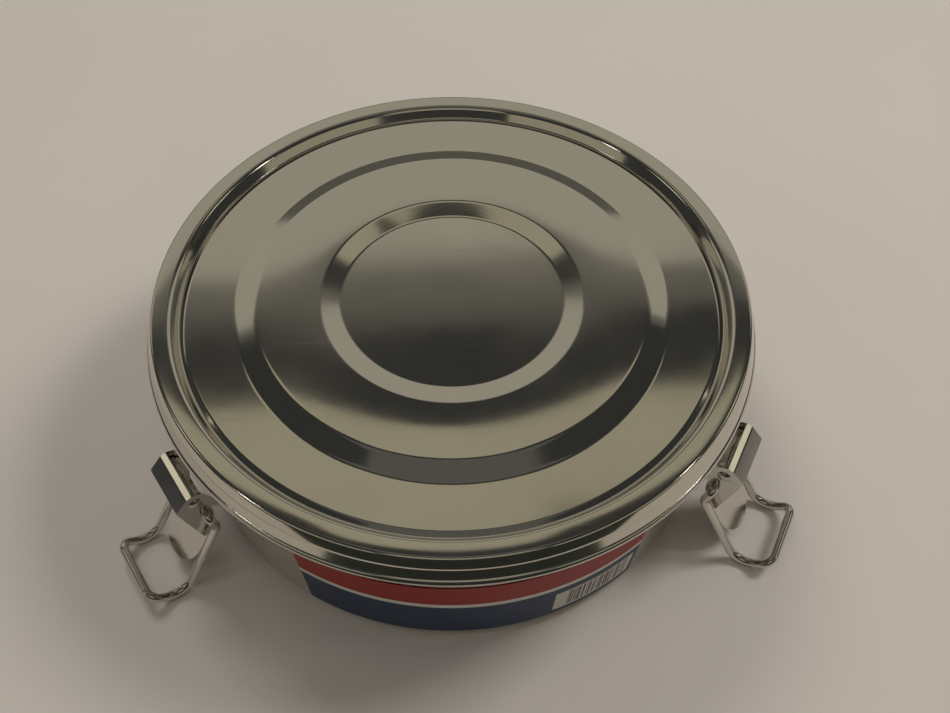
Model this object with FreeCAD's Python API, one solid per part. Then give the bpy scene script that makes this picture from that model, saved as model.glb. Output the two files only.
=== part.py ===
import FreeCAD, Part
import math
import os

# Round flan tin with a stamped lid and three over-centre wire clips. Units are mm and +Z is up.
# The origin is the centre of the base's underside, and the front faces -Y.
# Sections are drawn as (radius, height) corners with a fillet radius at each.

# Pan
PAN_SHEET = 0.6
BASE_RADIUS = 75.6          # middle of the wall where it meets the base
BASE_CORNER = 4.0
MOUTH_RADIUS = 80.1         # middle of the wall at the mouth
MOUTH_HEIGHT = 47.0
LIP_TOP = 55.2              # the folded lip that stands up inside the lid's channel
LIP_FOLD = 0.45
BEAD_TOP = 50.9
BEAD_BOTTOM = 47.9
BEAD_RADIUS = 84.8
BEAD_CURL = 2.0             # length of sheet tucked under the bead
LIP_ROOT_FILLET = 0.7
BEAD_FILLET = 1.15
WALL_BEND = 20.0            # soft bend where the sloping wall turns upright

# Lid
LID_SHEET = 0.6
CENTRE_HEIGHT = 54.6        # heights are of the middle of the sheet
INNER_RING = ((31.1, 54.6), (36.5, 55.8))
OUTER_RING = ((54.3, 56.2), (59.8, 54.4))
RING_FILLET = 5.0
GROOVE_EDGE = (73.4, 54.8, 1.5)         # radius, height and fillet
GROOVE_FLOOR = (75.2, 54.1, 0.9)
CHANNEL_INSIDE = (77.1, 57.6, 1.4)
CHANNEL_OUTSIDE = (81.9, 57.6, 0.75)
SKIRT_WAIST = (82.85, 54.7, 0.5)
SKIRT_RIDGE = (82.9, 54.1, 0.5)
SKIRT_HEM = (83.8, 51.08, 0)

# Label on the wall
LABEL_THICKNESS = 0.2
LABEL_HEIGHTS = (4.6, 37.0)
LABEL_AZIMUTHS = (236.0, 307.0)

# Clips. Clip shapes are drawn at azimuth 0, with X outwards and Y along the rim.
CLIP_AZIMUTHS = (210.0, 330.0, 90.0)
FIT_GAP = 0.03              # gap between pieces that are welded or riveted together
CLIP_SHEET = 0.8
BRACKET_HEIGHTS = (21.0, 43.5)
BRACKET_HALF_WIDTH = 12.0
BRACKET_CORNER = 3.0
LUG_ROOT_HEIGHTS = (25.5, 30.0)
LUG_ROOT_DEPTH = 0.4        # how far the lugs run into the bracket plate
LUG_INNER = 6.2
LUG_END_RADIUS = 2.2
LEVER_PIVOT = (85.9, 34.5)
PIN_RADIUS = 1.2
PIN_HEAD_RADIUS = 1.9
PIN_HEAD_HEIGHT = 0.75
PIN_CLEARANCE = 0.05
EAR_INNER = 7.4
EAR_OUTER = EAR_INNER + CLIP_SHEET
EAR_OUTLINE = (
    (91.5, 34.2, 0.8),
    (88.0, 37.8, 1.4),
    (86.3, 38.5, 0.6),
    (83.9, 37.8, 1.5),
    (81.9, 34.5, 2.0),
    (82.2, 26.0, 6.0),
    (83.2, 18.6, 1.2),
    (86.5, 17.0, 1.2),
)
HOOD_PATH = ((91.15, 33.98, 0), (87.78, 37.45, 1.0), (86.15, 38.12, 0))
BACK_PLATE_TOP = (83.0, 24.5)
TONGUE_BEND = (84.2, 17.5)
TONGUE_BEND_RADIUS = 2.0
TONGUE_LENGTH = 16.2
TONGUE_SLOPE = -50.0

# Wire bails, drawn hooked over the lid and then swung down to rest
WIRE_RADIUS = 1.25
WIRE_CLEARANCE = 0.07
WIRE_PIVOT = (84.5, 28.5)
WIRE_JOG = (88.2, 32.5)
WIRE_SHOULDER = (86.52, 60.96)
WIRE_HOOK = (75.5, 59.4)
WIRE_JOG_FILLET = 3.0
WIRE_SHOULDER_FILLET = 6.0
WIRE_CORNER = 3.0
WIRE_END_BEND = 2.0
LEG_OFFSET = 10.5
WIRE_END = 7.1
REST_SWING = 153.0          # degrees from hooked to rest

UP = FreeCAD.Vector(0, 0, 1)
ALONG = FreeCAD.Vector(0, 1, 0)
ORIGIN = FreeCAD.Vector(0, 0, 0)


def at(point, along=0.0):
    """A (radius, height) pair as a vector, `along` mm sideways."""
    return FreeCAD.Vector(point[0], along, point[1])


def rounded_edges(corners):
    """Lines and tangent arcs through a list of (vector, fillet radius)."""
    edges = []
    start = corners[0][0]

    def line_to(end):
        if start.distanceToPoint(end) > 1e-6:
            edges.append(Part.makeLine(start, end))

    for (before, _), (corner, radius), (after, _) in zip(corners, corners[1:], corners[2:]):
        back = (before - corner).normalize()
        ahead = (after - corner).normalize()
        if radius == 0:
            line_to(corner)
            start = corner
            continue
        half_angle = math.acos(back.dot(ahead)) / 2
        reach = radius / math.tan(half_angle)
        middle = (back + ahead).normalize()
        arc_start = corner + back * reach
        arc_top = corner + middle * (radius / math.sin(half_angle) - radius)
        arc_end = corner + ahead * reach
        line_to(arc_start)
        edges.append(Part.Arc(arc_start, arc_top, arc_end).toShape())
        start = arc_end
    line_to(corners[-1][0])
    return edges


def joined(edges):
    """One wire from edges given in any order."""
    return Part.Wire(Part.__sortEdges__(edges))


def offset_corners(corners, distance):
    """The section's corners moved `distance` to the left, with fillets to match."""
    moved = []
    last = len(corners) - 1
    for i, (x, z, radius) in enumerate(corners):
        first_leg = at(corners[max(i, 1)]) - at(corners[max(i, 1) - 1])
        second_leg = at(corners[min(i, last - 1) + 1]) - at(corners[min(i, last - 1)])
        first_normal = FreeCAD.Vector(-first_leg.z, 0, first_leg.x).normalize()
        second_normal = FreeCAD.Vector(-second_leg.z, 0, second_leg.x).normalize()
        scale = distance / (1 + first_normal.dot(second_normal))
        shift = (first_normal + second_normal) * scale
        turns_left = first_normal.dot(second_leg) > 0
        if radius > 0:
            radius += -distance if turns_left else distance
        moved.append((FreeCAD.Vector(x, 0, z) + shift, radius))
    return moved


def sheet_face(corners, thickness):
    """A sheet's cut face, from the corners of its middle line."""
    left = offset_corners(corners, thickness / 2)
    right = offset_corners(corners, -thickness / 2)
    caps = [
        Part.makeLine(left[0][0], right[0][0]),
        Part.makeLine(left[-1][0], right[-1][0]),
    ]
    return Part.Face(joined(rounded_edges(left) + rounded_edges(right) + caps))


def outline_face(corners):
    """A closed face with rounded corners, from (radius, height, fillet) corners."""
    middle = (at(corners[-1]) + at(corners[0])) * 0.5
    path = [(middle, 0)]
    path += [(at(corner), corner[2]) for corner in corners]
    path += [(middle, 0)]
    return Part.Face(joined(rounded_edges(path)))


def turned(face, degrees=360.0):
    return face.revolve(ORIGIN, UP, degrees)


def across(face, low, high):
    """A face extruded along the rim from `low` to `high`."""
    solid = face.extrude(ALONG * (high - low))
    solid.translate(ALONG * low)
    return solid


def cross_rod(point, radius, half_length):
    """A round rod along the rim, centred on the clip."""
    return Part.makeCylinder(radius, 2 * half_length, at(point, -half_length), ALONG)


def wall_outside(height):
    """Outer radius of the pan's sloping wall."""
    run = MOUTH_RADIUS - BASE_RADIUS
    rise = MOUTH_HEIGHT - PAN_SHEET / 2
    stretch = math.hypot(run, rise) / rise
    middle = BASE_RADIUS + run * (height - PAN_SHEET / 2) / rise
    return middle + PAN_SHEET / 2 * stretch


def wall_patch(heights, thickness, first, last):
    """A plate lying on the wall between two azimuths in degrees."""
    low, high = heights
    inside_low = wall_outside(low) + FIT_GAP
    inside_high = wall_outside(high) + FIT_GAP
    corners = [
        (inside_low, low, 0),
        (inside_low + thickness, low, 0),
        (inside_high + thickness, high, 0),
        (inside_high, high, 0),
    ]
    patch = turned(outline_face(corners), last - first)
    patch.rotate(ORIGIN, UP, first)
    return patch


def pan_body():
    middle = PAN_SHEET / 2
    lip_outside = MOUTH_RADIUS + 2 * LIP_FOLD
    corners = [
        (0, middle, 0),
        (BASE_RADIUS, middle, BASE_CORNER),
        (MOUTH_RADIUS, MOUTH_HEIGHT, WALL_BEND),
        (MOUTH_RADIUS, LIP_TOP - middle, LIP_FOLD),
        (lip_outside, LIP_TOP - middle, LIP_FOLD),
        (lip_outside, BEAD_TOP - middle, LIP_ROOT_FILLET),
        (BEAD_RADIUS - middle, BEAD_TOP - middle, BEAD_FILLET),
        (BEAD_RADIUS - middle, BEAD_BOTTOM + middle, BEAD_FILLET),
        (BEAD_RADIUS - middle - BEAD_CURL, BEAD_BOTTOM + middle, 0),
    ]
    return turned(sheet_face(corners, PAN_SHEET))


def lid():
    corners = [(0, CENTRE_HEIGHT, 0)]
    corners += [(radius, height, RING_FILLET) for radius, height in INNER_RING + OUTER_RING]
    corners += [
        GROOVE_EDGE,
        GROOVE_FLOOR,
        CHANNEL_INSIDE,
        CHANNEL_OUTSIDE,
        SKIRT_WAIST,
        SKIRT_RIDGE,
        SKIRT_HEM,
    ]
    return turned(sheet_face(corners, LID_SHEET))


def label_band():
    return wall_patch(LABEL_HEIGHTS, LABEL_THICKNESS, *LABEL_AZIMUTHS)


def lug_face():
    """A lug that tapers from the bracket plate to a round end about the lever's pivot."""
    pivot = at(LEVER_PIVOT)
    ends = []
    for height, side in zip(LUG_ROOT_HEIGHTS, (-1, 1)):
        depth = wall_outside(height) + FIT_GAP + CLIP_SHEET - LUG_ROOT_DEPTH
        root = at((depth, height))
        to_root = root - pivot
        swing = side * math.acos(LUG_END_RADIUS / to_root.Length)
        angle = math.atan2(to_root.z, to_root.x) - swing
        touch = pivot + FreeCAD.Vector(math.cos(angle), 0, math.sin(angle)) * LUG_END_RADIUS
        ends.append((root, touch))
    (low_root, low_touch), (high_root, high_touch) = ends
    away = (pivot - (low_root + high_root) * 0.5).normalize()
    edges = [
        Part.makeLine(low_root, low_touch),
        Part.Arc(low_touch, pivot + away * LUG_END_RADIUS, high_touch).toShape(),
        Part.makeLine(high_touch, high_root),
        Part.makeLine(high_root, low_root),
    ]
    return Part.Face(joined(edges))


def bracket():
    """The plate welded to the wall, with the two lugs that carry the lever."""
    half_angle = math.degrees(math.asin(BRACKET_HALF_WIDTH / MOUTH_RADIUS))
    plate = wall_patch(BRACKET_HEIGHTS, CLIP_SHEET, -half_angle, half_angle)
    corner_edges = [edge for edge in plate.Edges if edge.Length < 1.5 * CLIP_SHEET]
    plate = plate.makeFillet(BRACKET_CORNER, corner_edges)
    for low in (LUG_INNER, -LUG_INNER - CLIP_SHEET):
        plate = plate.fuse(across(lug_face(), low, low + CLIP_SHEET))
    return plate.cut(cross_rod(LEVER_PIVOT, PIN_RADIUS + FIT_GAP, EAR_OUTER)).removeSplitter()


def lever_pin():
    """The rivet the lever turns on, with a domed head at each end."""
    pin = cross_rod(LEVER_PIVOT, PIN_RADIUS, EAR_OUTER + PIN_CLEARANCE)
    dome_radius = (PIN_HEAD_RADIUS ** 2 + PIN_HEAD_HEIGHT ** 2) / (2 * PIN_HEAD_HEIGHT)
    for side in (-1, 1):
        seat = at(LEVER_PIVOT, side * (EAR_OUTER + PIN_CLEARANCE))
        outward = ALONG * side
        ball = Part.makeSphere(dome_radius, seat + outward * (PIN_HEAD_HEIGHT - dome_radius))
        slab = Part.makeCylinder(PIN_HEAD_RADIUS + 1, PIN_HEAD_HEIGHT + 1, seat, outward)
        pin = pin.fuse(ball.common(slab))
    return pin


def tongue():
    """The plate between the ears' lower ends, bent out into a round thumb tab."""
    slope = math.radians(TONGUE_SLOPE)
    run = FreeCAD.Vector(math.cos(slope), 0, math.sin(slope))
    bend = at(TONGUE_BEND)
    tip = bend + run * TONGUE_LENGTH
    corners = [(*BACK_PLATE_TOP, 0), (*TONGUE_BEND, TONGUE_BEND_RADIUS), (tip.x, tip.z, 0)]
    plate = across(sheet_face(corners, CLIP_SHEET), -EAR_OUTER, EAR_OUTER)
    # Everything inside a deep slot shape with one round end, square to the tab, is kept.
    square = FreeCAD.Vector(-run.z, 0, run.x)
    depth = 2 * TONGUE_LENGTH
    round_centre = tip - run * EAR_OUTER
    back = round_centre - run * depth
    side = ALONG * EAR_OUTER
    edges = [
        Part.makeLine(back - side, back + side),
        Part.makeLine(back + side, round_centre + side),
        Part.Arc(round_centre + side, tip, round_centre - side).toShape(),
        Part.makeLine(round_centre - side, back - side),
    ]
    keeper = Part.Face(joined(edges)).extrude(square * depth)
    keeper.translate(square * (-depth / 2))
    return plate.common(keeper)


def lever():
    """The hooded lever: two ears, the hood over the pivot and the thumb tongue."""
    body = across(sheet_face(HOOD_PATH, CLIP_SHEET), -EAR_OUTER, EAR_OUTER)
    body = body.fuse(tongue())
    for low in (EAR_INNER, -EAR_OUTER):
        body = body.fuse(across(outline_face(EAR_OUTLINE), low, low + CLIP_SHEET))
    for point, radius in (
        (LEVER_PIVOT, PIN_RADIUS + PIN_CLEARANCE),
        (WIRE_PIVOT, WIRE_RADIUS + WIRE_CLEARANCE),
    ):
        body = body.cut(cross_rod(point, radius, EAR_OUTER + 1))
    return body.removeSplitter()


def bail():
    """The bent wire loop, with its ends turned in through the lever's ears."""
    one_side = [
        (WIRE_PIVOT, WIRE_END_BEND),
        (WIRE_JOG, WIRE_JOG_FILLET),
        (WIRE_SHOULDER, WIRE_SHOULDER_FILLET),
        (WIRE_HOOK, WIRE_CORNER),
    ]
    path = [(at(WIRE_PIVOT, -WIRE_END), 0)]
    path += [(at(point, -LEG_OFFSET), fillet) for point, fillet in one_side]
    path += [(at(point, LEG_OFFSET), fillet) for point, fillet in reversed(one_side)]
    path += [(at(WIRE_PIVOT, WIRE_END), 0)]
    start = path[0][0]
    section = Part.Wire([Part.makeCircle(WIRE_RADIUS, start, ALONG)])
    wire = Part.Wire(rounded_edges(path)).makePipeShell([section], True, True)
    wire.rotate(at(WIRE_PIVOT), ALONG, REST_SWING)
    return wire


def export(name, shape):
    solids = shape.Solids
    if len(solids) != 1 or not solids[0].isValid():
        raise ValueError("%s is not one valid solid" % name)
    solids[0].exportStep("parts/%s.step" % name)


def main():
    os.makedirs("parts", exist_ok=True)
    export("pan_body", pan_body())
    export("label_band", label_band())
    export("lid", lid())
    clip_pieces = {"bracket": bracket(), "lever_pin": lever_pin(), "lever": lever(), "bail": bail()}
    for number, azimuth in enumerate(CLIP_AZIMUTHS, start=1):
        for name, shape in clip_pieces.items():
            placed = shape.copy()
            placed.rotate(ORIGIN, UP, azimuth)
            export("%s_%d" % (name, number), placed)


main()
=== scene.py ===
import math

import bmesh
import bpy
from mathutils import Matrix, Vector


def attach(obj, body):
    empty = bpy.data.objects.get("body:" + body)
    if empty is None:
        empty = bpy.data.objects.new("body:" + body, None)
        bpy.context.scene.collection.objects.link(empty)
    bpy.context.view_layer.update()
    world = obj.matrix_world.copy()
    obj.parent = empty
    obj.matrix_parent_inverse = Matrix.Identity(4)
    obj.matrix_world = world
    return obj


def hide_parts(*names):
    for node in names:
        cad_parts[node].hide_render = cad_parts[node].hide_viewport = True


# A round stainless flan tin with a stamped lid and three wire clips, on a plain pale table.
# The driving dimensions are in millimetres and the same as the CAD's. Lights, table and
# everything built are in metres.

MM = 0.001
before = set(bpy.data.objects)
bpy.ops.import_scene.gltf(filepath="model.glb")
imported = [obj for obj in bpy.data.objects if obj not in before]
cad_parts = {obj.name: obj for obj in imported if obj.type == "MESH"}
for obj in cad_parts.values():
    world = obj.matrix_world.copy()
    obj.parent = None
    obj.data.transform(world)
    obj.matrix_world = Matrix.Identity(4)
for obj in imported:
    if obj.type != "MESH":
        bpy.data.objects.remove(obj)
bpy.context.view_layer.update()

# ---- pan ----
PAN_SHEET = 0.6
BASE_RADIUS = 75.6
BASE_CORNER = 4.0
MOUTH_RADIUS = 80.1
MOUTH_HEIGHT = 47.0
WALL_BEND = 20.0
LIP_TOP = 55.2
LIP_FOLD = 0.45
LIP_ROOT_FILLET = 0.7
BEAD_TOP = 50.9
BEAD_BOTTOM = 47.9
BEAD_RADIUS = 84.8
BEAD_CURL = 2.0
BEAD_FILLET = 1.15

HALF_SHEET = PAN_SHEET / 2
LIP_OUTSIDE = MOUTH_RADIUS + 2 * LIP_FOLD
BEAD_OUTSIDE = BEAD_RADIUS - HALF_SHEET

# Corners of the sheet's middle line: radius, height and fillet
PAN_SECTION = (
    (0, HALF_SHEET, 0),
    (BASE_RADIUS, HALF_SHEET, BASE_CORNER),
    (MOUTH_RADIUS, MOUTH_HEIGHT, WALL_BEND),
    (MOUTH_RADIUS, LIP_TOP - HALF_SHEET, LIP_FOLD),
    (LIP_OUTSIDE, LIP_TOP - HALF_SHEET, LIP_FOLD),
    (LIP_OUTSIDE, BEAD_TOP - HALF_SHEET, LIP_ROOT_FILLET),
    (BEAD_OUTSIDE, BEAD_TOP - HALF_SHEET, BEAD_FILLET),
    (BEAD_OUTSIDE, BEAD_BOTTOM + HALF_SHEET, BEAD_FILLET),
    (BEAD_OUTSIDE - BEAD_CURL, BEAD_BOTTOM + HALF_SHEET, 0),
)

# ---- lid ----
LID_SHEET = 0.6
RING_FILLET = 5.0
LID_SECTION = (
    (0, 54.6, 0),                   # centre disc
    (31.1, 54.6, RING_FILLET),      # inner ring
    (36.5, 55.8, RING_FILLET),
    (54.3, 56.2, RING_FILLET),      # outer ring
    (59.8, 54.4, RING_FILLET),
    (73.4, 54.8, 1.5),              # groove
    (75.2, 54.1, 0.9),
    (77.1, 57.6, 1.4),              # channel over the pan's lip
    (81.9, 57.6, 0.75),
    (82.85, 54.7, 0.5),             # skirt
    (82.9, 54.1, 0.5),
    (83.8, 51.08, 0),
)

# ---- label; its print is laid out in fractions of its length and height ----
LABEL_HEIGHTS = (4.6, 37.0)
LABEL_AZIMUTHS = (236.0, 307.0)
LABEL_BACK = 0.05                   # stand-off of its back and front from the wall
LABEL_FRONT = 0.2
WHITE_FROM = 0.57
RED_FROM = 0.635
PANEL = ((0.725, 0.985), (0.08, 0.45))
BARS = ((0.765, 0.965), (0.11, 0.42))
NAVY = (0.016, 0.036, 0.090)
WHITE = (0.66, 0.64, 0.60)
RED = (0.32, 0.018, 0.014)
PANEL_WHITE = (0.60, 0.58, 0.54)
BAR_BLACK = (0.03, 0.03, 0.035)

# ---- clips ----
CLIPS = (1, 2, 3)
SHEET_EDGE_ROUND = 0.1

# ---- resolution and shading ----
TURN_STEPS = 360
ARC_STEP = math.radians(7.5)
LABEL_COLUMNS = 120
LABEL_ROWS = 4
TURNED_SHARP = 60.0                 # degrees between faces that keep a crisp edge
LABEL_SHARP = 40.0
CLIP_SHARP = 32.0
BEVEL_ABOVE = 50.0
SAME_POINT = 1e-4                   # mm
ON_AXIS = 1e-6                      # mm
WELD = 1e-7                         # m

# ---- noise in the materials: its scales, and the part of a noise's range that is used ----
SMUDGE_SCALE = 22.0
SMUDGE_RANGE = (0.35, 0.7)
HAIRLINE_STRETCH = (40.0, 1100.0, 300.0)
HAIRLINE_TURN = 0.7                 # radians
HAIRLINE_RANGE = (0.66, 0.78)
HAIRLINE_ROUGH = 0.03
MARKS_SCALE = 2600.0
WAVE_SCALE = 16.0
BAR_SCALE = 150.0
BAR_SHARE = 0.5
FIBRE_SCALE = 900.0
FIBRE_SHADES = (0.86, 1.1)
FIBRE_STRENGTH = 0.4
FIBRE_DEPTH = 0.02                  # mm
MOTTLE_SCALE = 6.0

# ---- table, lights and camera ----
TABLE_SIZE = 6.0
TABLE_TOP = -0.0002                 # just under the tin, so that their faces don't coincide
TABLE_DARK = (0.61, 0.57, 0.535)
TABLE_LIGHT = (0.68, 0.64, 0.605)
ROOM_COLOUR = (0.85, 0.88, 0.88)
ROOM_STRENGTH = 0.045
WARM = (1.0, 0.94, 0.80)
YELLOW = (1.0, 0.93, 0.70)
SOFT_WHITE = (1.0, 0.95, 0.89)
BEHIND = (0.0, 0.62)
IN_FRONT = (0.0, -0.75)
FRONT_LEFT = (-0.72, -0.62)
FRONT_RIGHT = (0.72, -0.62)
TIN = (0.0, 0.0, 0.0)
LEFT_CLIP = (-0.08, -0.04, 0.03)
RIGHT_CLIP = (0.08, -0.04, 0.03)

# Upright cards: name, place, lowest, highest, half width, radiance, colour.
# Behind, from low to high, reflections find a dim strip, a light wall, another dim strip, a
# dark gap and a softbox. The cards in front light the rim, and the lid as seen from behind.
CARDS = (
    ("back_low", BEHIND, 0.0, 0.28, 1.1, 0.075, WARM),
    ("back_wall", BEHIND, 0.28, 0.742, 1.1, 0.37, WARM),
    ("back_dim", BEHIND, 0.742, 0.811, 1.1, 0.10, WARM),
    ("high_wide", BEHIND, 0.975, 1.27, 0.45, 0.36, YELLOW),
    ("high_narrow", BEHIND, 1.27, 1.45, 0.18, 0.36, YELLOW),
    ("front_left", FRONT_LEFT, 0.05, 0.55, 0.42, 0.30, YELLOW),
    ("front_right", FRONT_RIGHT, 0.05, 0.55, 0.42, 0.30, YELLOW),
    ("high_front", IN_FRONT, 0.45, 1.35, 0.35, 0.30, YELLOW),
)
# Square lamps: name, centre, aim, side, power, colour, whether reflections see it.
# The key and the fill put soft shadows to the left and the front. The boxes light the clips'
# upper facets, and the small lamps put highlights on the wires.
LAMPS = (
    ("key", (0.95, 0.30, 1.15), TIN, 0.45, 9.0, SOFT_WHITE, False),
    ("fill", (-0.40, 0.80, 1.20), TIN, 0.5, 5.2, SOFT_WHITE, False),
    ("sky", (-0.25, -0.30, 1.60), TIN, 0.9, 3.0, SOFT_WHITE, False),
    ("box_left", (-0.97, 0.20, 0.80), LEFT_CLIP, 0.28, 0.20, YELLOW, True),
    ("box_right", (1.02, 0.21, 0.74), RIGHT_CLIP, 0.28, 0.20, YELLOW, True),
    ("lamp_right", (1.05, -0.20, 0.85), TIN, 0.12, 0.40, SOFT_WHITE, True),
    ("lamp_left", (-1.00, -0.35, 0.80), TIN, 0.12, 0.30, SOFT_WHITE, True),
    ("ceiling", (0.0, 0.0, 1.72), TIN, 1.0, 0.25, SOFT_WHITE, True),
)
# A black card that only reflections see: painted shade, in place of the dark, shaded area in
# front of the tin, for the polished skirt and rim to mirror.
PAINTED_SHADE_CENTRE = (0.0, -0.135, 0.03)
PAINTED_SHADE_SIZE = (0.5, 0.06)
PAINTED_SHADE_COLOUR = (0.06, 0.07, 0.066)

# The camera stands in front of the tin and above it, and its azimuth turns it about +Z.
CAMERA_AZIMUTH = -4.6
CAMERA_ELEVATION = 52.63
CAMERA_ROLL = 1.0
CAMERA_PLACE = (6.6, -199.0, 288.3) # mm, before that turn
CAMERA_LENS = 41.7
CAMERA_SENSOR = 36.0
CAMERA_NEAREST = 0.01               # m


# ---- geometry helpers ----
def rounded(corners):
    """Points along a path of straight runs and tangent arcs."""
    points = [Vector(corners[0][0])]
    for (before, _), (corner, radius), (after, _) in zip(corners, corners[1:], corners[2:]):
        back = (before - corner).normalized()
        ahead = (after - corner).normalized()
        half_angle = math.acos(max(-1.0, min(1.0, back.dot(ahead)))) / 2
        if radius <= 0:
            points.append(corner.copy())
            continue
        centre = corner + (back + ahead).normalized() * (radius / math.sin(half_angle))
        first = corner + back * (radius / math.tan(half_angle)) - centre
        last = corner + ahead * (radius / math.tan(half_angle)) - centre
        sweep = math.pi - 2 * half_angle
        steps = max(3, math.ceil(sweep / ARC_STEP))
        for i in range(steps + 1):
            t = i / steps
            blend = first * math.sin((1 - t) * sweep) + last * math.sin(t * sweep)
            points.append(centre + blend / math.sin(sweep))
    points.append(Vector(corners[-1][0]))
    cleaned = [points[0]]
    for point in points[1:]:
        if (point - cleaned[-1]).length > SAME_POINT:
            cleaned.append(point)
    return cleaned


def offset_side(section, distance):
    """One face of a sheet whose middle line is `section`, `distance` to its left."""
    corners = []
    last = len(section) - 1
    for i, (radius, height, fillet) in enumerate(section):
        legs = []
        for first in (max(i, 1) - 1, min(i, last - 1)):
            leg = Vector(section[first + 1][:2]) - Vector(section[first][:2])
            legs.append(leg.normalized())
        normals = [Vector((-leg.y, leg.x)) for leg in legs]
        shift = (normals[0] + normals[1]) * (distance / (1 + normals[0].dot(normals[1])))
        if fillet > 0:
            fillet += -distance if normals[0].dot(legs[1]) > 0 else distance
        corners.append((Vector((radius, height)) + shift, fillet))
    return rounded(corners)


def finished(name, bm, body, replaced, material, sharp_degrees):
    """A smooth-shaded mesh object that rides on a body and stands for CAD nodes."""
    bmesh.ops.recalc_face_normals(bm, faces=bm.faces)
    mesh = bpy.data.meshes.new(name)
    bm.to_mesh(mesh)
    bm.free()
    mesh.shade_smooth()
    mesh.set_sharp_from_angle(angle=math.radians(sharp_degrees))
    piece = bpy.data.objects.new(name, mesh)
    bpy.context.scene.collection.objects.link(piece)
    mesh.materials.append(material)
    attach(piece, body)
    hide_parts(*replaced)


def turned_mesh(outline):
    """A closed outline of (radius, height) points spun about the axis."""
    bm = bmesh.new()
    rings = []
    for step in range(TURN_STEPS):
        angle = 2 * math.pi * step / TURN_STEPS
        cosine, sine = math.cos(angle), math.sin(angle)
        ring = [bm.verts.new((p.x * cosine * MM, p.x * sine * MM, p.y * MM)) for p in outline]
        rings.append(ring)
    count = len(outline)
    for step in range(TURN_STEPS):
        here, there = rings[step], rings[(step + 1) % TURN_STEPS]
        for i in range(count):
            j = (i + 1) % count
            if outline[i].x < ON_AXIS and outline[j].x < ON_AXIS:
                continue
            bm.faces.new((here[i], here[j], there[j], there[i]))
    bmesh.ops.remove_doubles(bm, verts=bm.verts, dist=WELD)
    return bm


def turned_sheet(section, thickness):
    """A sheet of even thickness about a middle line, spun about the axis."""
    left = offset_side(section, thickness / 2)
    right = offset_side(section, -thickness / 2)
    return turned_mesh(left + right[::-1])


# ---- materials ----
# Places of a Mix node's colour sockets, whose names it shares with its other sockets
MIX_A = 6
MIX_B = 7
MIX_RESULT = 2


class Surface:
    """A new node material, with short calls for the nodes that the tin's materials use."""

    def __init__(self, name):
        self.material = bpy.data.materials.new(name)
        self.material.use_nodes = True
        self.nodes = self.material.node_tree.nodes
        self.links = self.material.node_tree.links
        self.shader = self.nodes["Principled BSDF"]

    def set(self, **values):
        """Plain values on the shader's own sockets: Base_Color is the socket Base Color."""
        for name, value in values.items():
            self.shader.inputs[name.replace("_", " ")].default_value = value

    def link(self, output, socket):
        self.links.new(output, self.shader.inputs[socket])

    def place(self):
        """Each point's place on its own object, in metres."""
        return self.nodes.new("ShaderNodeTexCoord").outputs["Object"]

    def split(self, vector):
        node = self.nodes.new("ShaderNodeSeparateXYZ")
        self.links.new(vector, node.inputs["Vector"])
        return node.outputs

    def combined(self, x, y):
        node = self.nodes.new("ShaderNodeCombineXYZ")
        self.links.new(x, node.inputs["X"])
        self.links.new(y, node.inputs["Y"])
        return node.outputs["Vector"]

    def length(self, vector):
        node = self.nodes.new("ShaderNodeVectorMath")
        node.operation = "LENGTH"
        self.links.new(vector, node.inputs[0])
        return node.outputs["Value"]

    def noise(self, vector, scale, detail, roughness=0.5):
        node = self.nodes.new("ShaderNodeTexNoise")
        node.inputs["Scale"].default_value = scale
        node.inputs["Detail"].default_value = detail
        node.inputs["Roughness"].default_value = roughness
        self.links.new(vector, node.inputs["Vector"])
        return node.outputs["Fac"]

    def remapped(self, value, before, after):
        """`value` stretched from the range `before` to the range `after`, and held to it."""
        node = self.nodes.new("ShaderNodeMapRange")
        node.inputs["From Min"].default_value, node.inputs["From Max"].default_value = before
        node.inputs["To Min"].default_value, node.inputs["To Max"].default_value = after
        self.links.new(value, node.inputs["Value"])
        return node.outputs["Result"]

    def math(self, operation, first, second):
        """Arithmetic on an output and either another output or a number."""
        node = self.nodes.new("ShaderNodeMath")
        node.operation = operation
        self.links.new(first, node.inputs[0])
        if isinstance(second, float):
            node.inputs[1].default_value = second
        else:
            self.links.new(second, node.inputs[1])
        return node.outputs["Value"]

    def within(self, value, limits):
        """1 where `value` lies between the limits, and 0 elsewhere."""
        above = self.math("GREATER_THAN", value, limits[0])
        below = self.math("LESS_THAN", value, limits[1])
        return self.math("MULTIPLY", above, below)

    def ramp(self, value, stops, interpolation="LINEAR"):
        node = self.nodes.new("ShaderNodeValToRGB")
        node.color_ramp.interpolation = interpolation
        elements = node.color_ramp.elements
        while len(elements) < len(stops):
            elements.new(0.5)
        for element, (position, colour) in zip(elements, stops):
            element.position = position
            element.color = (*colour, 1.0)
        self.links.new(value, node.inputs["Fac"])
        return node.outputs["Color"]

    def over(self, colour, mask, paint):
        """`paint`, a plain colour, laid over `colour` where the mask is 1."""
        node = self.nodes.new("ShaderNodeMix")
        node.data_type = "RGBA"
        self.links.new(mask, node.inputs["Factor"])
        self.links.new(colour, node.inputs[MIX_A])
        node.inputs[MIX_B].default_value = (*paint, 1.0)
        return node.outputs[MIX_RESULT]

    def shaded(self, colour, shade):
        """`colour` multiplied by `shade`."""
        node = self.nodes.new("ShaderNodeMix")
        node.data_type = "RGBA"
        node.blend_type = "MULTIPLY"
        node.inputs["Factor"].default_value = 1.0
        self.links.new(colour, node.inputs[MIX_A])
        self.links.new(shade, node.inputs[MIX_B])
        return node.outputs[MIX_RESULT]

    def bump(self, height, strength, depth, under=None):
        """A normal from a height map that is `depth` mm deep, on top of another normal."""
        node = self.nodes.new("ShaderNodeBump")
        node.inputs["Strength"].default_value = strength
        node.inputs["Distance"].default_value = depth * MM
        self.links.new(height, node.inputs["Height"])
        if under is not None:
            self.links.new(under, node.inputs["Normal"])
        return node.outputs["Normal"]


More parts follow.
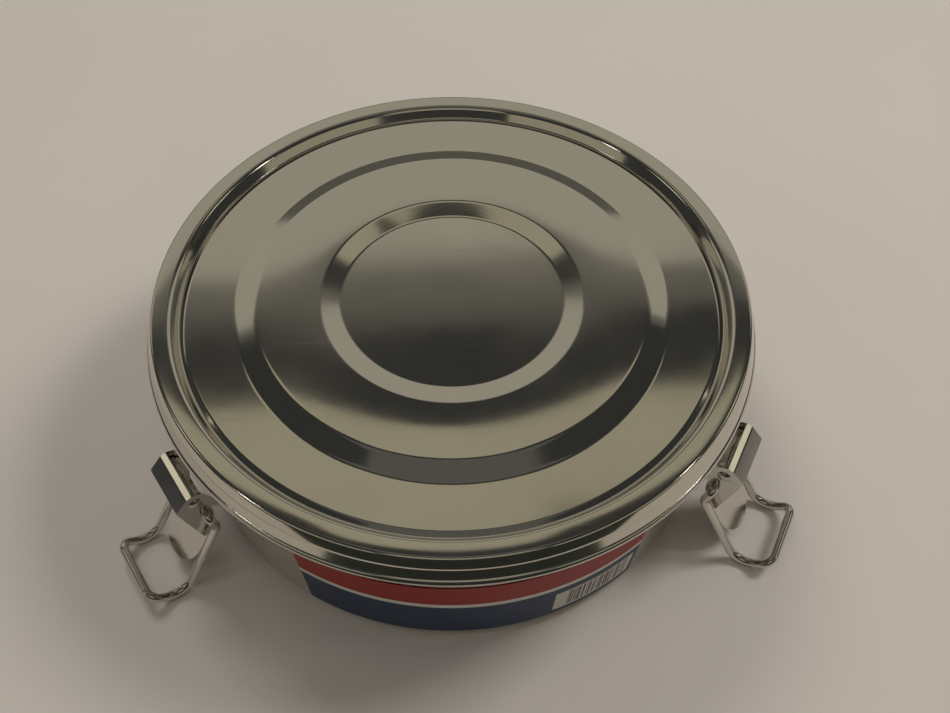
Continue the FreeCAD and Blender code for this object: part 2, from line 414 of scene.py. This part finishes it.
def steel(name, colour, rough, rough_spread, wave, marks=0.0, anisotropy=0.0, turned=False):
    """Polished stainless steel with smudges, hairline scratches, turning marks and waves.

    `marks` and `wave` are the depths in mm of the turning marks and of the slight waves.
    """
    surface = Surface(name)
    surface.set(Metallic=1.0, Base_Color=(*colour, 1.0), Anisotropic=anisotropy)
    place = surface.place()
    smudge = surface.noise(place, SMUDGE_SCALE, detail=5.0, roughness=0.62)
    smudged = surface.remapped(smudge, SMUDGE_RANGE, (rough, rough + rough_spread))

    stretched = surface.nodes.new("ShaderNodeMapping")
    stretched.inputs["Rotation"].default_value = (0.0, 0.0, HAIRLINE_TURN)
    stretched.inputs["Scale"].default_value = HAIRLINE_STRETCH
    surface.links.new(place, stretched.inputs["Vector"])
    scratches = surface.noise(stretched.outputs["Vector"], 1.0, detail=3.0)
    hairline = surface.remapped(scratches, HAIRLINE_RANGE, (0.0, HAIRLINE_ROUGH))
    surface.link(surface.math("ADD", smudged, hairline), "Roughness")

    # Turning marks are a fine noise that changes with radius and height only.
    x, y, height = surface.split(place)
    radius = surface.length(surface.combined(x, y))
    rings = surface.noise(surface.combined(radius, height), MARKS_SCALE, detail=2.0)
    waves = surface.noise(place, WAVE_SCALE, detail=1.0)
    broad = surface.bump(waves, strength=1.0, depth=wave)
    fine = surface.bump(rings, strength=1.0, depth=marks, under=broad)
    surface.link(fine, "Normal")
    if turned:
        tangent = surface.nodes.new("ShaderNodeTangent")
        tangent.direction_type = "RADIAL"
        tangent.axis = "Z"
        surface.link(tangent.outputs["Tangent"], "Tangent")
    return surface.material


def label_paper():
    """A printed band: red over a white rule over navy, with a blank white panel of bars."""
    surface = Surface("printed_label")
    surface.set(Coat_Weight=0.06, Coat_Roughness=0.2, Roughness=0.5, Specular_IOR_Level=0.3)
    uv = surface.nodes.new("ShaderNodeUVMap")
    uv.uv_map = "band"
    along, up, _ = surface.split(uv.outputs["UV"])
    stops = [(0.0, NAVY), (WHITE_FROM, WHITE), (RED_FROM, RED)]
    bands = surface.ramp(up, stops, "CONSTANT")

    def area(limits):
        return surface.math("MULTIPLY", surface.within(along, limits[0]),
                            surface.within(up, limits[1]))

    bar_noise = surface.nodes.new("ShaderNodeTexNoise")
    bar_noise.noise_dimensions = "1D"
    bar_noise.inputs["Scale"].default_value = BAR_SCALE
    bar_noise.inputs["Detail"].default_value = 1.0
    surface.links.new(along, bar_noise.inputs["W"])
    bar_on = surface.math("GREATER_THAN", bar_noise.outputs["Fac"], BAR_SHARE)
    with_panel = surface.over(bands, area(PANEL), PANEL_WHITE)
    bars = surface.math("MULTIPLY", area(BARS), bar_on)
    with_bars = surface.over(with_panel, bars, BAR_BLACK)

    fibre = surface.noise(surface.place(), FIBRE_SCALE, detail=4.0)
    shade = surface.remapped(fibre, (0.0, 1.0), FIBRE_SHADES)
    surface.link(surface.shaded(with_bars, shade), "Base Color")
    surface.link(surface.bump(fibre, FIBRE_STRENGTH, FIBRE_DEPTH), "Normal")
    return surface.material


def table_paper():
    """The pale surface the tin stands on."""
    surface = Surface("pale_table")
    surface.set(Roughness=0.6)
    mottle = surface.noise(surface.place(), MOTTLE_SCALE, detail=6.0)
    colour = surface.ramp(mottle, [(0.0, TABLE_DARK), (1.0, TABLE_LIGHT)])
    surface.link(colour, "Base Color")
    return surface.material


# Painted shade: the matt black of that card, which reflections show in place of the shaded
# area in front of the tin.
def painted_shade_black():
    surface = Surface("painted_shade_black")
    surface.set(Base_Color=(*PAINTED_SHADE_COLOUR, 1.0), Roughness=0.9, Specular_IOR_Level=0.0)
    return surface.material


lid_steel = steel("lid_polish", (0.63, 0.60, 0.52), rough=0.065, rough_spread=0.06,
                  wave=0.03, marks=0.0012, anisotropy=0.15, turned=True)
pan_steel = steel("pan_polish", (0.60, 0.58, 0.52), rough=0.12, rough_spread=0.08,
                  wave=0.04, marks=0.002, anisotropy=0.3, turned=True)
clip_steel = steel("clip_polish", (0.64, 0.62, 0.57), rough=0.10, rough_spread=0.08, wave=0.02)
wire_steel = steel("wire_polish", (0.66, 0.63, 0.59), rough=0.13, rough_spread=0.08, wave=0.02)
pin_steel = steel("pin_polish", (0.58, 0.56, 0.52), rough=0.17, rough_spread=0.10, wave=0.03)
label_print = label_paper()


# ---- pieces ----
def wall_outside(height):
    """Outer radius of the pan's sloping wall, in millimetres."""
    run, rise = MOUTH_RADIUS - BASE_RADIUS, MOUTH_HEIGHT - HALF_SHEET
    middle = BASE_RADIUS + run * (height - HALF_SHEET) / rise
    return middle + HALF_SHEET * math.hypot(run, rise) / rise


def label():
    """The printed band, wrapped on the wall, with u along it and v up it."""
    first, last = (math.radians(a) for a in LABEL_AZIMUTHS)
    low, high = LABEL_HEIGHTS
    columns, rows = LABEL_COLUMNS, LABEL_ROWS
    bm = bmesh.new()
    band = bm.loops.layers.uv.new("band")
    grids = []
    for stand_off in (LABEL_BACK, LABEL_FRONT):
        grid = []
        for i in range(columns + 1):
            angle = first + (last - first) * i / columns
            column = []
            for j in range(rows + 1):
                height = low + (high - low) * j / rows
                radius = wall_outside(height) + stand_off
                place = Vector((radius * math.cos(angle), radius * math.sin(angle), height))
                column.append(bm.verts.new(place * MM))
            grid.append(column)
        grids.append(grid)
    inner, outer = grids

    def quad(corners, places):
        face = bm.faces.new(corners)
        for loop, (i, j) in zip(face.loops, places):
            loop[band].uv = (i / columns, j / rows)

    for i in range(columns):
        for j in range(rows):
            places = [(i, j), (i + 1, j), (i + 1, j + 1), (i, j + 1)]
            quad([outer[a][b] for a, b in places], places)
            quad([inner[a][b] for a, b in reversed(places)], places[::-1])
    for i in range(columns):
        for j in (0, rows):
            quad([inner[i][j], inner[i + 1][j], outer[i + 1][j], outer[i][j]],
                 [(i, j), (i + 1, j), (i + 1, j), (i, j)])
    for i in (0, columns):
        for j in range(rows):
            quad([inner[i][j], inner[i][j + 1], outer[i][j + 1], outer[i][j]],
                 [(i, j), (i, j + 1), (i, j + 1), (i, j)])
    finished("label_print", bm, "pan", ["label_band"], label_print, LABEL_SHARP)


finished("pan_shell", turned_sheet(PAN_SECTION, PAN_SHEET), "pan",
         ["pan_body"], pan_steel, TURNED_SHARP)
finished("lid_shell", turned_sheet(LID_SECTION, LID_SHEET), "lid",
         ["lid"], lid_steel, TURNED_SHARP)
label()


def keep_cad(node, material, edge_round=0.0):
    """A CAD node kept as it is, with rounded sheet edges and a better material."""
    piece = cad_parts[node]
    piece.data.materials.clear()
    piece.data.materials.append(material)
    piece.data.shade_smooth()
    piece.data.set_sharp_from_angle(angle=math.radians(CLIP_SHARP))
    if edge_round > 0:
        bevel = piece.modifiers.new("soft_edges", "BEVEL")
        bevel.width = edge_round * MM
        bevel.segments = 2
        bevel.limit_method = "ANGLE"
        bevel.angle_limit = math.radians(BEVEL_ABOVE)
        bevel.harden_normals = True


for clip in CLIPS:
    keep_cad("bracket_%d" % clip, clip_steel, SHEET_EDGE_ROUND)
    keep_cad("lever_%d" % clip, clip_steel, SHEET_EDGE_ROUND)
    keep_cad("lever_pin_%d" % clip, pin_steel)
    keep_cad("bail_%d" % clip, wire_steel)


# ---- table, lights and camera ----
def table():
    bpy.ops.mesh.primitive_plane_add(size=TABLE_SIZE, location=(0, 0, TABLE_TOP))
    plane = bpy.context.object
    plane.name = "table_top"
    plane.data.materials.append(table_paper())


def painted_shade_card():
    """A black card in front that only reflections see: painted shade, standing in for the
    dark, shaded area in front of the tin, for the polished skirt and rim to mirror.
    """
    bpy.ops.mesh.primitive_plane_add(size=1.0, location=PAINTED_SHADE_CENTRE)
    shade_card = bpy.context.object
    shade_card.name = "painted_shade_card"
    shade_card.scale = (*PAINTED_SHADE_SIZE, 1.0)
    shade_card.rotation_euler = (math.radians(90.0), 0.0, 0.0)
    shade_card.data.materials.append(painted_shade_black())
    shade_card.visible_camera = False
    shade_card.visible_diffuse = False
    shade_card.visible_shadow = False


def panel_light(name, centre, aim, size, power, colour, reflected=True):
    """A soft rectangular light that the camera doesn't see, and reflections may."""
    data = bpy.data.lights.new(name, "AREA")
    data.shape = "RECTANGLE"
    data.size, data.size_y = size
    data.energy = power
    data.color = colour
    light = bpy.data.objects.new(name, data)
    light.location = centre
    light.rotation_euler = (Vector(aim) - Vector(centre)).to_track_quat("-Z", "Y").to_euler()
    light.visible_camera = False
    light.visible_glossy = reflected
    bpy.context.scene.collection.objects.link(light)


def card(name, place, low, high, half_width, radiance, colour):
    """An upright glowing card at `place`, given by its heights and brightness."""
    size = (2 * half_width, high - low)
    middle = (low + high) / 2
    power = radiance * math.pi * size[0] * size[1]
    panel_light(name, (*place, middle), (0.0, 0.0, middle), size, power, colour)


def room():
    """A dim, even light from all round."""
    world = bpy.data.worlds.new("room")
    world.use_nodes = True
    background = world.node_tree.nodes["Background"]
    background.inputs["Color"].default_value = (*ROOM_COLOUR, 1.0)
    background.inputs["Strength"].default_value = ROOM_STRENGTH
    bpy.context.scene.world = world


def camera():
    data = bpy.data.cameras.new("view")
    data.lens = CAMERA_LENS
    data.sensor_width = CAMERA_SENSOR
    data.clip_start = CAMERA_NEAREST
    eye = bpy.data.objects.new("view", data)
    elevation, roll = math.radians(CAMERA_ELEVATION), math.radians(CAMERA_ROLL)
    back = Vector((0.0, -math.cos(elevation), math.sin(elevation)))
    right = Vector((1.0, 0.0, 0.0))
    up = back.cross(right)
    rolled_right = right * math.cos(roll) + up * math.sin(roll)
    rolled_up = up * math.cos(roll) - right * math.sin(roll)
    turn = Matrix((rolled_right, rolled_up, back)).transposed().to_4x4()
    place = Matrix.Translation(Vector(CAMERA_PLACE) * MM)
    eye.matrix_world = Matrix.Rotation(math.radians(CAMERA_AZIMUTH), 4, "Z") @ place @ turn
    bpy.context.scene.collection.objects.link(eye)
    bpy.context.scene.camera = eye


table()
painted_shade_card()
for values in CARDS:
    card(*values)
for name, centre, aim, side, power, colour, reflected in LAMPS:
    panel_light(name, centre, aim, (side, side), power, colour, reflected)
room()
camera()
bpy.context.scene.view_settings.view_transform = "Standard"

bpy.context.view_layer.update()
